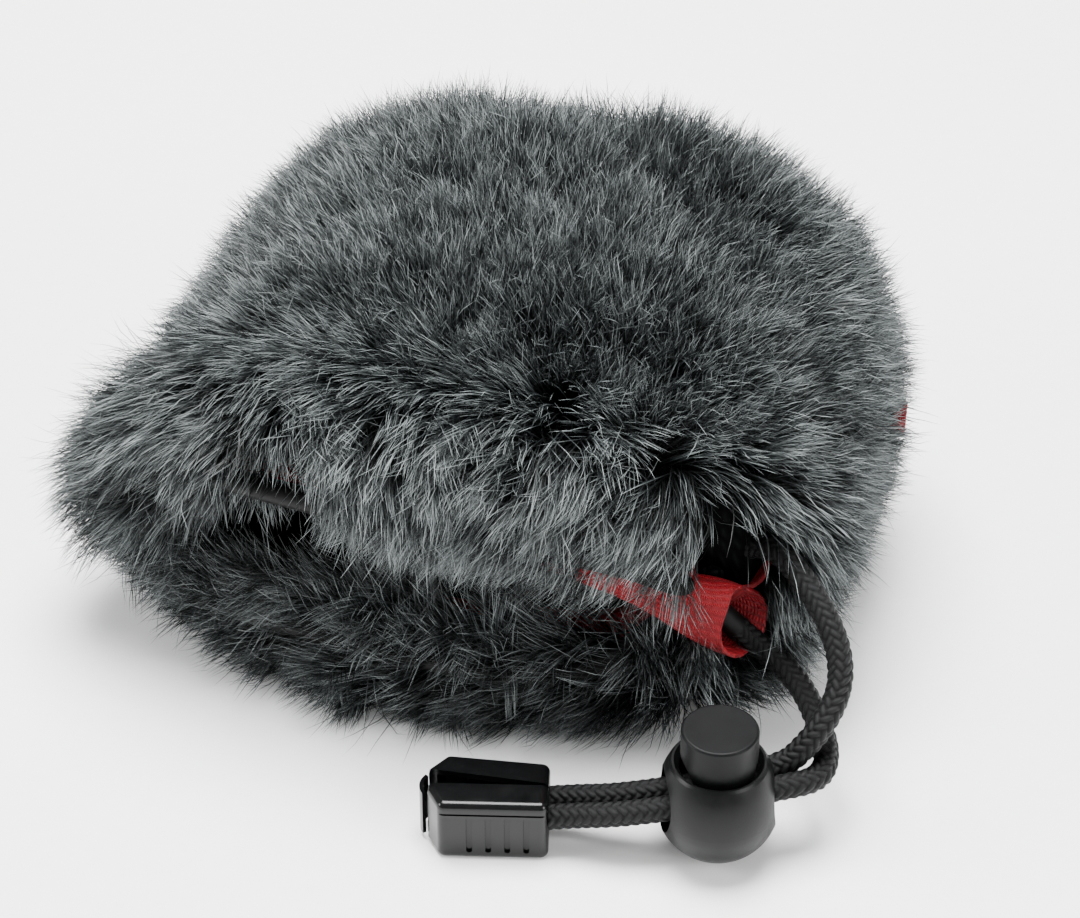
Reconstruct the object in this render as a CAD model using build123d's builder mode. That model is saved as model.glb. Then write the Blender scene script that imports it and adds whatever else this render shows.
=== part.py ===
"""A small furry windscreen for a microphone, in millimetres.

A soft pouch of long-pile fur fabric lies on its base, with its mouth towards -Y. A woven casing runs round
the mouth and holds an elastic cord, whose two ends come out at the mouth's right corner, pass through a
spring cord lock and finish in a hinged cord end. +Z is up, and the origin is under the middle of the pouch.
"""
from build123d import *
import math
import os

os.makedirs("parts", exist_ok=True)

# Pouch: the plan of the pile's surface, going round from the front left corner
front_left = (-63.2, -36.5)
front_right = (34.0, -42.6)
side_front = (58.3, -14.0)
back_right = (50.0, 42.0)
back_left = (-43.0, 42.0)
corner_radii = [22.0, 20.0, 20.0, 26.0, 26.0]
pouch_height = 62.0
crown_radius = 18.0       # where the top turns into the sides
base_radius = 8.0         # where the sides turn under
pile_length = 9.0         # how far the fur stands off its knit
pile_under = 4.0          # the fur flattened beneath the pouch
knit_thickness = 1.2
knit_base_radius = 5.0

# Panels: the seams that divide the fur fabric
rim_seam_height = 22.0    # between the base panel and all the others
ridge_seam_y = -13.0      # between the lip panel and the crown
left_seam_x = -38.0
right_seam_x = 43.0       # where the slanted right seam crosses y = 0
right_seam_slope = 0.95

# Mouth opening through the front
mouth_left = -51.0
mouth_right = 50.0
mouth_bottom = 7.0
mouth_top = 37.0
mouth_corner = 6.0
mouth_back_y = -18.0
mouth_reach = 50.0

# Drawcord and its casing
cord_diameter = 3.4
casing_wall = 0.7
casing_play = 0.6         # between the cord and the casing round it
casing_diameter = cord_diameter + 2 * (casing_play + casing_wall)
bend_share = 0.45         # the share of a run that an arc may take up
casing_upper_route = [(-46.5, -28, 22), (-46.5, -28, 28), (-38.5, -31, 32.6), (-16, -35, 33.2),
                      (10, -36, 33.2), (28, -34.5, 32.3), (38.5, -31.6, 27.5), (43.3, -29, 20.8)]
casing_lower_route = [(-46.5, -28, 22), (-46.5, -28, 16), (-38.5, -31, 11.3), (-16, -35, 10.7),
                      (10, -36.5, 10.8), (26, -33.5, 12.2), (33.5, -27.5, 18.5), (38.5, -24.5, 25)]
rear_strand_route = [(38.5, -24.5, 25), (41.5, -22.7, 28.9), (46.3, -23.6, 31.4), (51.5, -27.8, 30.5),
                     (56.0, -31.6, 27.6), (58.7, -34.5, 24.2), (59.6, -37.2, 20.8), (58.7, -40.2, 17.6),
                     (56.6, -42.5, 14.4), (53.72, -44.62, 11.3), (35.96, -52.16, 8.4), (25.6, -52.35, 5.6),
                     (19.42, -54.01, 4.7)]
front_strand_route = [(43.3, -29, 20.8), (45.7, -27.7, 17.45), (50.4, -29.2, 15.8), (53.9, -32, 14.2),
                      (56.7, -35.5, 12.4), (58.9, -39.4, 10.9), (59.1, -44, 10.5), (55.13, -47.94, 11.3),
                      (37.36, -55.48, 8.4), (26.53, -55.83, 5.6), (20.35, -57.49, 4.7)]

# Cord lock: heights are measured from the middle of its ball
lock_radius = 8.2
lock_place = (46.6, -49.6)
lock_heading = 23.0       # degrees from +X to the line of the cord hole
lock_ring_drop = 1.2      # how far the ring lies below the ball's own radius
lock_ring_break = (0.3, 0.35)
lock_shoulder_inset = 0.45
lock_shoulder_height = 3.5
lock_ring_width = 0.6
lock_mouth_flare = 0.7
lock_mouth_depth = 0.9
lock_floor_thickness = 2.9
pocket_floor_thickness = 1.2
pocket_step = 1.85        # the ledge round the spring's pocket
cord_hole_margin = 0.85   # how far the hole stands clear of the plunger's slot
cord_hole_height = 1.0
plunger_clearance = 0.1
plunger_cheek = 1.5       # the plunger beside its slot
plunger_room = 2.5        # free height under the plunger
plunger_stand = 5.3       # how far the plunger stands above the ring
plunger_edge = 0.4
plunger_base = 1.5        # solid height under the slot
slot_play = 0.1           # on each side of the two strands
strand_spacing = 3.6      # between the strands' middles inside the lock
slot_spring_height = 4.9  # where the slot's sides turn into its arch
spring_wire = 0.5
spring_side_gap = 0.45
spring_turns = 3.5
spring_end_gap = 0.02

# Cord end: two half shells joined by a bent strip, with the cord's tails held inside
cord_end_place = (25.1, -54.35, 0.0)
cord_end_heading = 15.0
shell_height = 9.4
shell_length = 14.3       # to where each shell's long side turns in to its tip
shell_tip = 16.0
shell_tip_half = 1.1      # half width of the front shell's tip
shell_front = -4.5
shell_back = 4.5
shell_back_far = 5.8
shell_back_slope = 0.7    # how far the back shell's side stops short of the front's
shell_wall = 0.9
shell_rim_gap = 0.15
shell_wedge = 2.6         # how far the back shell's rim stands off at the strip
shell_back_tip = 0.5      # width of the back shell's tip
shell_edge_radius = 1.0
shell_corner_radius = 1.1
shell_end_wall = 1.2
tip_wall = 1.1
cord_slot_bottom = 3.3
cord_slot_top = 7.6
cord_slot_reach = 3.62
grip_groove_width = 0.8
grip_groove_depth = 0.4
grip_groove_bottom = 1.2
grip_groove_top = 7.3
grip_groove_places = [-10.4, -7.9, -5.4, -2.9]
lip_groove_height = 7.7   # a line moulded under the front shell's rounded lip
lip_groove_width = 0.3
lip_groove_depth = 0.22
strip_thickness = 0.5
strip_margin = 0.9        # the strip's inset from the shells' bottom
strip_height = 7.1
strip_bulge = 0.95        # how far the strip's bend stands off the tip
strip_gap = 0.02
tail_length = 5.8
tail_gap = 0.25
tail_radius = 3.3
tail_edge = 1.0

# Small sewn pieces
tag_share = 0.59          # where it sits along the pouch's right side
tag_gap = 0.1
tag_rise = 2.0            # above the rim seam
tag_reach = 2.8
tag_width = 8.0
tag_thickness = 0.8
stitch_length = 2.4
stitch_thread = 0.4
stitch_pitch = 3.6
casing_stitch_count = 7
casing_stitch_start = (-14.0, -35.1)
casing_stitch_line = (26, -1, 0)
ridge_stitch_count = 17
ridge_stitch_start = -28.0

pouch_corners = [front_left, front_right, side_front, back_right, back_left]
knit_inset = pile_length + knit_thickness


def pouch_form(inset, floor, base_edge):
    """Closed form of the pouch, a given distance inside the surface of its pile."""
    with BuildPart() as form:
        with BuildSketch(Plane.XY.offset(floor)):
            with BuildLine():
                FilletPolyline(*pouch_corners, radius=corner_radii, close=True)
            make_face()
            if inset > 0:
                offset(amount=-inset, mode=Mode.REPLACE)
        extrude(amount=pouch_height - inset - floor)
        fillet(form.faces().sort_by(Axis.Z)[-1].edges(), crown_radius - inset)
        fillet(form.faces().sort_by(Axis.Z)[0].edges(), base_edge)
    return form.part


def mouth_opening():
    """The opening that the mouth leaves through the pile and the knit."""
    width = mouth_right - mouth_left
    height = mouth_top - mouth_bottom
    with BuildPart() as opening:
        with BuildSketch(Plane.XZ.offset(-mouth_back_y)):
            with Locations(((mouth_left + mouth_right) / 2, (mouth_bottom + mouth_top) / 2)):
                RectangleRounded(width, height, mouth_corner)
        extrude(amount=mouth_reach)
    return opening.part


rim_seam = Plane.XY.offset(rim_seam_height)
ridge_seam = Plane(origin=(0, ridge_seam_y, 0), z_dir=(0, 1, 0))
left_seam = Plane(origin=(left_seam_x, 0, 0), z_dir=(1, 0, 0))
right_seam = Plane(origin=(right_seam_x, 0, 0), z_dir=(1, right_seam_slope, 0))

# Each panel is what its seams leave of a layer: a seam's plane, and the side of it that is kept
panels = {
    "base": [(rim_seam, Keep.BOTTOM)],
    "left_side": [(rim_seam, Keep.TOP), (left_seam, Keep.BOTTOM)],
    "right_side": [(rim_seam, Keep.TOP), (right_seam, Keep.TOP)],
    "lip": [(rim_seam, Keep.TOP), (left_seam, Keep.TOP), (right_seam, Keep.BOTTOM),
            (ridge_seam, Keep.BOTTOM)],
    "crown": [(rim_seam, Keep.TOP), (left_seam, Keep.TOP), (right_seam, Keep.BOTTOM),
              (ridge_seam, Keep.TOP)],
}

pile_surface = pouch_form(0, 0, base_radius)
knit_surface = pouch_form(pile_length, pile_under, knit_base_radius)
pocket_surface = pouch_form(knit_inset, pile_under + knit_thickness, knit_base_radius - knit_thickness)
opening_form = mouth_opening()


def export_panel(name, outer, inner, seams):
    """One panel of a layer between two forms, cut at its seams and open at the mouth."""
    with BuildPart() as panel:
        add(outer)
        add(inner, mode=Mode.SUBTRACT)
        add(opening_form, mode=Mode.SUBTRACT)
        for seam, side in seams:
            split(bisect_by=seam, keep=side)
    panel.part.label = name
    export_step(panel.part, f"parts/{name}.step")


for panel_name, panel_seams in panels.items():
    export_panel(f"{panel_name}_fur", pile_surface, knit_surface, panel_seams)
    export_panel(f"{panel_name}_knit", knit_surface, pocket_surface, panel_seams)


def bend_radii(route):
    """The radius of the arc at each inner point: the largest that the runs beside it leave room for."""
    radii = []
    for before, at, after in zip(route, route[1:], route[2:]):
        arriving = Vector(*at) - Vector(*before)
        leaving = Vector(*after) - Vector(*at)
        half_turn = math.radians(arriving.get_angle(leaving)) / 2
        radii.append(bend_share * min(arriving.length, leaving.length) / math.tan(half_turn))
    return radii


def rod_along(route, radius):
    """A round rod whose straight runs are joined by tangent arcs."""
    with BuildPart() as rod:
        with BuildLine() as path:
            FilletPolyline(*route, radius=bend_radii(route))
        centre_line = path.wire()
        with BuildSketch(Plane(origin=centre_line @ 0, z_dir=centre_line % 0)):
            Circle(radius)
        sweep(path=centre_line)
    share = rod.part.volume / (math.pi * radius ** 2 * centre_line.length)
    print(f"rod of {centre_line.length:.1f} mm, volume {share:.4f} of section times length, bend radii",
          [round(bend, 1) for bend in bend_radii(route)])
    return rod.part


# Casing of woven tape, sewn round the mouth in an upper and a lower half
casing_routes = {"casing_upper": casing_upper_route, "casing_lower": casing_lower_route}
for casing_name, casing_route in casing_routes.items():
    casing_solid = rod_along(casing_route, casing_diameter / 2)
    casing_hollow = rod_along(casing_route, casing_diameter / 2 - casing_wall)
    with BuildPart() as casing:
        add(casing_solid)
        add(casing_hollow, mode=Mode.SUBTRACT)
    casing.part.label = casing_name
    export_step(casing.part, f"parts/{casing_name}.step")

# Elastic cord: the loop inside the casing, then the two free strands
cord_routes = {
    "cord_in_casing": casing_upper_route[:0:-1] + casing_lower_route[1:],
    "rear_strand": rear_strand_route,
    "front_strand": front_strand_route,
}
for cord_name, cord_route in cord_routes.items():
    cord_rod = rod_along(cord_route, cord_diameter / 2)
    with BuildPart() as cord:
        add(cord_rod)
    cord.part.label = cord_name
    export_step(cord.part, f"parts/{cord_name}.step")

# Cord lock body: a hollow ball with a flat open top and a cross hole for both strands
lock_position = (lock_place[0], lock_place[1], lock_radius)
lock_turn = math.radians(lock_heading)
lock_base = Plane(origin=lock_position, x_dir=(math.cos(lock_turn), math.sin(lock_turn), 0), z_dir=(0, 0, 1))
lock_side = Plane(origin=lock_position, x_dir=lock_base.x_dir, z_dir=-lock_base.y_dir)
lock_cross = Plane(origin=lock_position, x_dir=lock_base.y_dir, z_dir=lock_base.x_dir)
slot_width = strand_spacing + cord_diameter + 2 * slot_play
plunger_radius = slot_width / 2 + plunger_cheek
bore_radius = plunger_radius + plunger_clearance
mouth_radius = bore_radius + lock_mouth_flare
ring_radius = mouth_radius + lock_ring_width
ring_height = lock_radius - lock_ring_drop
bore_floor = lock_floor_thickness - lock_radius
pocket_radius = bore_radius - pocket_step
pocket_floor = pocket_floor_thickness - lock_radius
shoulder = (lock_radius - lock_shoulder_inset, lock_shoulder_height)
break_low = (ring_radius, ring_height - lock_ring_break[1])
break_high = (ring_radius - lock_ring_break[0], ring_height)
with BuildPart() as lock_body:
    with BuildSketch(lock_side):
        with BuildLine():
            CenterArc((0, 0), lock_radius, -90, 90)
            ThreePointArc((lock_radius, 0), shoulder, break_low)
            Polyline(break_low, break_high, (mouth_radius, ring_height),
                     (bore_radius, ring_height - lock_mouth_depth), (bore_radius, bore_floor),
                     (pocket_radius, bore_floor), (pocket_radius, pocket_floor), (0, pocket_floor),
                     (0, -lock_radius))
        make_face()
    revolve(axis=Axis(lock_position, (0, 0, 1)))
    with BuildSketch(lock_cross):
        with Locations((0, cord_hole_height)):
            Circle(slot_width / 2 + cord_hole_margin)
    extrude(amount=2 * lock_radius, both=True, mode=Mode.SUBTRACT)
lock_body.part.label = "lock_body"
export_step(lock_body.part, "parts/lock_body.step")

# Plunger: a push button with a slot that both strands run through
plunger_bottom = bore_floor + plunger_room
plunger_top = ring_height + plunger_stand
slot_floor = plunger_bottom + plunger_base
with BuildPart() as lock_plunger:
    with BuildSketch(lock_base.offset(plunger_bottom)):
        Circle(plunger_radius)
    extrude(amount=plunger_top - plunger_bottom)
    fillet(lock_plunger.faces().sort_by(Axis.Z)[-1].edges(), plunger_edge)
    with BuildSketch(lock_cross):
        with Locations((0, slot_spring_height)):
            Circle(slot_width / 2)
        with Locations((0, slot_floor)):
            Rectangle(slot_width, slot_spring_height - slot_floor, align=(Align.CENTER, Align.MIN))
    extrude(amount=2 * plunger_radius, both=True, mode=Mode.SUBTRACT)
lock_plunger.part.label = "lock_plunger"
export_step(lock_plunger.part, "parts/lock_plunger.step")

# Spring under the plunger
coil_low = pocket_floor + spring_wire / 2 + spring_end_gap
coil_height = plunger_bottom - spring_wire / 2 - spring_end_gap - coil_low
coil_radius = pocket_radius - spring_side_gap - spring_wire / 2
with BuildPart() as lock_spring:
    with BuildLine(lock_base.offset(coil_low)) as coil:
        Helix(pitch=coil_height / spring_turns, height=coil_height, radius=coil_radius)
    coil_wire = coil.wire()
    with BuildSketch(Plane(origin=coil_wire @ 0, z_dir=coil_wire % 0)):
        Circle(spring_wire / 2)
    sweep(path=coil_wire, is_frenet=True)
lock_spring.part.label = "lock_spring"
export_step(lock_spring.part, "parts/lock_spring.step")

# Cord end: its own plane has X towards the lock and Y to the back
end_turn = math.radians(cord_end_heading)
end_base = Plane(origin=cord_end_place, x_dir=(math.cos(end_turn), math.sin(end_turn), 0), z_dir=(0, 0, 1))
end_front = Plane(origin=cord_end_place, x_dir=end_base.x_dir, z_dir=-end_base.y_dir)
outline_corners = [shell_corner_radius, shell_corner_radius, 0, 0, 0]
front_outline = [(0, shell_front), (-shell_length, shell_front), (-shell_tip, -shell_tip_half),
                 (-shell_tip, -shell_rim_gap), (0, -shell_rim_gap)]
back_outline = [(0, shell_back), (shell_back_slope - shell_length, shell_back_far),
                (-shell_tip, shell_wedge + shell_back_tip), (-shell_tip, shell_wedge), (0, shell_rim_gap)]

# One outline for the hollow that runs through both halves
cavity_far = tip_wall - shell_tip
cavity_turn = cavity_far + tip_wall
cavity_front = shell_front + shell_wall
cavity_back = shell_back - shell_wall
cavity_outline = [(-shell_end_wall, cavity_front), (cavity_turn, cavity_front),
                  (cavity_far, -shell_tip_half / 2), (cavity_far, shell_wedge + shell_back_tip),
                  (cavity_turn, cavity_back + shell_back_tip), (-shell_end_wall, cavity_back)]


def half_shell(outline):
    """A half shell of the cord end, open at its rim, which joins the last two points of its outline."""
    rim_middle = (Vector(*outline[-1]) + Vector(*outline[-2])) / 2
    with BuildPart() as shell:
        with BuildSketch(end_base):
            with BuildLine():
                FilletPolyline(*outline, radius=outline_corners, close=True)
            make_face()
        extrude(amount=shell_height)
        level_faces = shell.faces().sort_by(Axis.Z)
        rounded = []
        for edge in level_faces[0].edges() + level_faces[-1].edges():
            middle = end_base.to_local_coords(edge.center())
            if math.hypot(middle.X - rim_middle.X, middle.Y - rim_middle.Y) > shell_rim_gap:
                rounded.append(edge)
        fillet(rounded, shell_edge_radius)
        with BuildSketch(end_base.offset(shell_wall)):
            with BuildLine():
                Polyline(*cavity_outline, close=True)
            make_face()
        extrude(amount=shell_height - 2 * shell_wall, mode=Mode.SUBTRACT)
        with BuildSketch(end_base.offset(cord_slot_bottom)):
            Rectangle(3 * shell_end_wall, 2 * cord_slot_reach)
        extrude(amount=cord_slot_top - cord_slot_bottom, mode=Mode.SUBTRACT)
    return shell.part


front_cup = half_shell(front_outline)
with BuildPart() as cord_end_front:
    add(front_cup)
    with BuildSketch(end_front.offset(-shell_front)):
        for place in grip_groove_places:
            with Locations((place, (grip_groove_bottom + grip_groove_top) / 2)):
                SlotOverall(grip_groove_top - grip_groove_bottom, grip_groove_width, rotation=90)
    extrude(amount=-grip_groove_depth, mode=Mode.SUBTRACT)
    with BuildSketch(end_front.offset(-shell_front)):
        with Locations((-shell_length / 2, lip_groove_height)):
            Rectangle(shell_length, lip_groove_width)
    extrude(amount=-lip_groove_depth, mode=Mode.SUBTRACT)
cord_end_front.part.label = "cord_end_front"
export_step(cord_end_front.part, "parts/cord_end_front.step")

back_cup = half_shell(back_outline)
with BuildPart() as cord_end_back:
    add(back_cup)
cord_end_back.part.label = "cord_end_back"
export_step(cord_end_back.part, "parts/cord_end_back.step")

# Hinge strip, bent round the far end between the two half shells
strip_half = strip_thickness / 2
strip_start = (-shell_tip - strip_thickness, -shell_tip_half / 2)
strip_middle = (-shell_tip - strip_bulge, shell_wedge / 2 - strip_half)
strip_finish = (-shell_tip - strip_half - strip_gap, shell_wedge + strip_half)
with BuildPart() as cord_end_strip:
    with BuildSketch(end_base.offset(strip_margin)):
        with BuildLine() as strip_line:
            ThreePointArc(strip_start, strip_middle, strip_finish)
        trace(strip_line.line, line_width=strip_thickness)
    extrude(amount=strip_height)
cord_end_strip.part.label = "cord_end_strip"
export_step(cord_end_strip.part, "parts/cord_end_strip.step")

# Melted tails of both strands, in one lump too large for the cord slot
strand_ends = (Vector(*rear_strand_route[-1]) + Vector(*front_strand_route[-1])) / 2
tail_start = strand_ends - end_base.x_dir * tail_gap
with BuildPart() as cord_tails:
    with BuildSketch(Plane(origin=tail_start, z_dir=-end_base.x_dir)):
        Circle(tail_radius)
    extrude(amount=tail_length)
    fillet(cord_tails.edges().filter_by(GeomType.CIRCLE), tail_edge)
cord_tails.part.label = "cord_tails"
export_step(cord_tails.part, "parts/cord_tails.step")

# Plain seam tag, folded and sewn into the rim seam on the right
tag_normal = Vector(back_right[1] - side_front[1], side_front[0] - back_right[0], 0).normalized()
tag_foot = Vector(*side_front) * (1 - tag_share) + Vector(*back_right) * tag_share + tag_normal * tag_gap
tag_foot = tag_foot + Vector(0, 0, rim_seam_height + tag_rise)
with BuildPart() as seam_tag:
    with BuildSketch(Plane(origin=tag_foot, x_dir=tag_normal, z_dir=(0, 0, 1))):
        Rectangle(tag_reach, tag_width, align=(Align.MIN, Align.CENTER))
    extrude(amount=tag_thickness)
seam_tag.part.label = "seam_tag"
export_step(seam_tag.part, "parts/seam_tag.step")


def export_stitches(name, starts, direction, count):
    """Rows of separate thread stitches, each row from its start along a direction."""
    step = Vector(*direction).normalized()
    with BuildPart() as stitches:
        for start in starts:
            for index in range(count):
                place = Vector(*start) + step * (index * stitch_pitch)
                with BuildSketch(Plane(origin=place, z_dir=step)):
                    Circle(stitch_thread / 2)
                extrude(amount=stitch_length)
    stitches.part.label = name
    export_step(stitches.part, f"parts/{name}.step")


row_stand_off = casing_diameter / 2 + stitch_thread
upper_row = (*casing_stitch_start, casing_upper_route[3][2] - row_stand_off)
lower_row = (*casing_stitch_start, casing_lower_route[3][2] + row_stand_off)
export_stitches("casing_stitches", [upper_row, lower_row], casing_stitch_line, casing_stitch_count)

ridge_row = (ridge_stitch_start, ridge_seam_y, pouch_height - knit_inset - stitch_thread)
export_stitches("ridge_seam_stitches", [ridge_row], (1, 0, 0), ridge_stitch_count)
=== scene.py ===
import math

import bpy
import numpy as np
from mathutils import Matrix, Vector


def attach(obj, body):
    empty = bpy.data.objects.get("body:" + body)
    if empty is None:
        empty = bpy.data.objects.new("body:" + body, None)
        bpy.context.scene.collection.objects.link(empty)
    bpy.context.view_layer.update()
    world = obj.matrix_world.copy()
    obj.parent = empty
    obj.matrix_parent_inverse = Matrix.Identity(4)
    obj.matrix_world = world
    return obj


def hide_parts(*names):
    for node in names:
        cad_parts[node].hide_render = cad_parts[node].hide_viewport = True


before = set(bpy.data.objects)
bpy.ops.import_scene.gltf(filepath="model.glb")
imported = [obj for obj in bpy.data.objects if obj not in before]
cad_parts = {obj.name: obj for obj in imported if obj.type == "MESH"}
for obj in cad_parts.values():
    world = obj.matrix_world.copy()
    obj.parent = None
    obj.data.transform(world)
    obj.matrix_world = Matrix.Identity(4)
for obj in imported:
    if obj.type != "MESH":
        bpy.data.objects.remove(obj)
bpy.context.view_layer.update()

MM = 0.001

# ---------------------------------------------------------------------------------------------------------
# Camera: a long lens half a metre away, looking down into the mouth of the pouch from its front right.
azimuth, elevation = math.radians(18.0), math.radians(36.0)
level = math.cos(elevation)
look = Vector((-math.sin(azimuth) * level, math.cos(azimuth) * level, -math.sin(elevation)))
right = Vector((math.cos(azimuth), math.sin(azimuth), 0.0))
above = right.cross(look)
distance, lens, sensor = 0.48, 111.9, 36.0
pouch_middle = Vector((0.0, 0.0, 22.0)) * MM
aim_right, aim_below = 6.86 * MM, 2.72 * MM
camera_place = pouch_middle - look * distance
aim = pouch_middle + right * aim_right - above * aim_below
camera_data = bpy.data.cameras.new("camera")
camera_data.lens = lens
camera_data.sensor_width = sensor
camera_data.clip_start, camera_data.clip_end = 0.01, 20.0
camera = bpy.data.objects.new("camera", camera_data)
bpy.context.collection.objects.link(camera)
facing = (camera_place - aim).to_track_quat("Z", "Y")
camera.matrix_world = Matrix.Translation(camera_place) @ facing.to_matrix().to_4x4()
bpy.context.scene.camera = camera


# ---------------------------------------------------------------------------------------------------------
# The two free strands of elastic cord: a rubber core inside a jacket of black polyester, braided from
# sixteen yarns that pass over two and under two. Both come out of the red casing at the mouth's right
# corner and run through the lock into the cord end, where they are melted together.
cord_diameter = 3.4 * MM
yarns_each_way = 8
yarn_pitch = 1.3 * MM
yarn_relief = 0.26 * MM
core_inset = 0.20 * MM      # how far the jacket's lowest places lie inside the cord's radius
jacket_girth = 10.7         # millimetres of weave round the cord
rear_route = [(38.5, -24.5, 25), (41.5, -22.7, 28.9), (46.3, -23.6, 31.4), (51.5, -27.8, 30.5),
              (56.0, -31.6, 27.6), (58.7, -34.5, 24.2), (59.6, -37.2, 20.8), (58.7, -40.2, 17.6),
              (56.6, -42.5, 14.4), (53.72, -44.62, 11.3), (35.96, -52.16, 8.4), (25.6, -52.35, 5.6),
              (19.42, -54.01, 4.7)]
front_route = [(43.3, -29, 20.8), (45.7, -27.7, 17.45), (50.4, -29.2, 15.8), (53.9, -32, 14.2),
               (56.7, -35.5, 12.4), (58.9, -39.4, 10.9), (59.1, -44, 10.5), (55.13, -47.94, 11.3),
               (37.36, -55.48, 8.4), (26.53, -55.83, 5.6), (20.35, -57.49, 4.7)]


def smooth_line(route, name):
    """Points along the quadratic NURBS spline whose control points are the route, in metres."""
    curve = bpy.data.curves.new(name, "CURVE")
    curve.dimensions = "3D"
    spline = curve.splines.new("NURBS")
    spline.points.add(len(route) - 1)
    for point, place in zip(spline.points, route):
        point.co = (place[0] * MM, place[1] * MM, place[2] * MM, 1.0)
    spline.order_u = 3
    spline.use_endpoint_u = True
    spline.resolution_u = 24
    holder = bpy.data.objects.new(name, curve)
    bpy.context.collection.objects.link(holder)
    mesh = bpy.data.meshes.new_from_object(holder)
    points = np.empty(len(mesh.vertices) * 3)
    mesh.vertices.foreach_get("co", points)
    bpy.data.objects.remove(holder)
    bpy.data.curves.remove(curve)
    bpy.data.meshes.remove(mesh)
    return points.reshape(-1, 3)


def even_line(points, spacing):
    """The same line with points an even distance apart, and how far along it each lies."""
    runs = np.linalg.norm(np.diff(points, axis=0), axis=1)
    along = np.concatenate([[0.0], np.cumsum(runs)])
    count = int(round(along[-1] / spacing)) + 1
    even = np.linspace(0.0, along[-1], count)
    return np.stack([np.interp(even, along, points[:, axis]) for axis in range(3)], 1), even


def unit(vectors):
    """Vectors over their own lengths."""
    return vectors / np.maximum(np.linalg.norm(vectors, axis=-1, keepdims=True), 1e-12)


def tube_frames(line, reference):
    """Across = forward x reference, over = across x forward, at each point of a line."""
    forward = unit(np.gradient(line, axis=0))
    across = unit(np.cross(forward, np.asarray(reference, float)))
    return forward, across, np.cross(across, forward)


def new_piece(name, places, faces, material, uv=None):
    """An object at the origin from whole arrays of places and faces, smooth shaded, with its own UV map."""
    mesh = bpy.data.meshes.new(name)
    mesh.from_pydata(np.asarray(places).tolist(), [], faces if isinstance(faces, list) else faces.tolist())
    mesh.polygons.foreach_set("use_smooth", np.ones(len(mesh.polygons), bool))
    if uv is not None:
        corners = np.empty(len(mesh.loops), int)
        mesh.loops.foreach_get("vertex_index", corners)
        layer = mesh.uv_layers.new(name="surface")
        layer.data.foreach_set("uv", np.asarray(uv)[corners].ravel())
    mesh.materials.append(material)
    mesh.update()
    piece = bpy.data.objects.new(name, mesh)
    bpy.context.collection.objects.link(piece)
    return piece


def grid_faces(rows, columns, closed):
    """Quads between the points of a grid, with its columns joined round when it is closed."""
    row = np.arange(rows - 1)[:, None]
    column = np.arange(columns if closed else columns - 1)[None, :]
    after = (column + 1) % columns
    this_row, next_row = row * columns, (row + 1) * columns
    corners = [this_row + column, this_row + after, next_row + after, next_row + column]
    spread_out = [np.broadcast_to(corner, (rows - 1, column.size)) for corner in corners]
    return np.stack(spread_out, -1).reshape(-1, 4)


def new_material(name):
    """An empty material and its node tree, its shader and a function that adds a node with its inputs."""
    material = bpy.data.materials.new(name)
    material.use_nodes = True
    tree = material.node_tree
    shader = tree.nodes["Principled BSDF"]

    def node(kind, inputs=None, **settings):
        made = tree.nodes.new(kind)
        for key, value in settings.items():
            setattr(made, key, value)
        for key, value in (inputs or {}).items():
            if isinstance(value, bpy.types.NodeSocket):
                tree.links.new(value, made.inputs[key])
            else:
                made.inputs[key].default_value = value
        return made

    return material, shader, node, tree.links.new


def ramp(node, fraction, stops):
    """A colour ramp through (place, colour) stops, fed by a fraction."""
    made = node("ShaderNodeValToRGB", {"Fac": fraction})
    elements = made.color_ramp.elements
    while len(elements) < len(stops):
        elements.new(0.5)
    for element, (place, colour) in zip(elements, stops):
        element.position = place
        element.color = (*colour, 1.0)
    return made.outputs["Color"]


# Braid: charcoal yarns, with painted shade darkening the gaps between them, each with fine filaments along
# its length
braid, shader, node, link = new_material("braided_jacket")
surface = node("ShaderNodeUVMap", uv_map="surface").outputs["UV"]
parts = node("ShaderNodeSeparateXYZ", {"Vector": surface})
depth = node("ShaderNodeAttribute", attribute_name="yarn").outputs["Fac"]
filaments = node("ShaderNodeTexNoise", {"Vector": surface, "Scale": 26.0, "Detail": 4.0, "Roughness": 0.65})
patches = node("ShaderNodeTexNoise", {"Vector": surface, "Scale": 2.2, "Detail": 2.0})
fuzz = node("ShaderNodeMath", {0: filaments.outputs["Fac"], 1: 0.5}, operation="MULTIPLY")
# Colour follows the yarn height: painted shade where the yarns lie low between their crowns, with the
# filament noise added on top
lift = node("ShaderNodeMath", {0: depth, 1: fuzz.outputs[0]}, operation="ADD")
tone = ramp(node, lift.outputs[0], [(0.25, (0.0004, 0.0004, 0.0004)), (0.7, (0.0016, 0.0017, 0.0018)),
                                    (1.0, (0.006, 0.0062, 0.0065))])
link(tone, shader.inputs["Base Color"])
gloss = node("ShaderNodeMapRange", {"Value": patches.outputs["Fac"], "To Min": 0.42, "To Max": 0.62})
link(gloss.outputs["Result"], shader.inputs["Roughness"])
bump = node("ShaderNodeBump", {"Height": filaments.outputs["Fac"], "Strength": 0.5, "Distance": 0.00012})
link(bump.outputs["Normal"], shader.inputs["Normal"])
shader.inputs["Specular IOR Level"].default_value = 0.14


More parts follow.
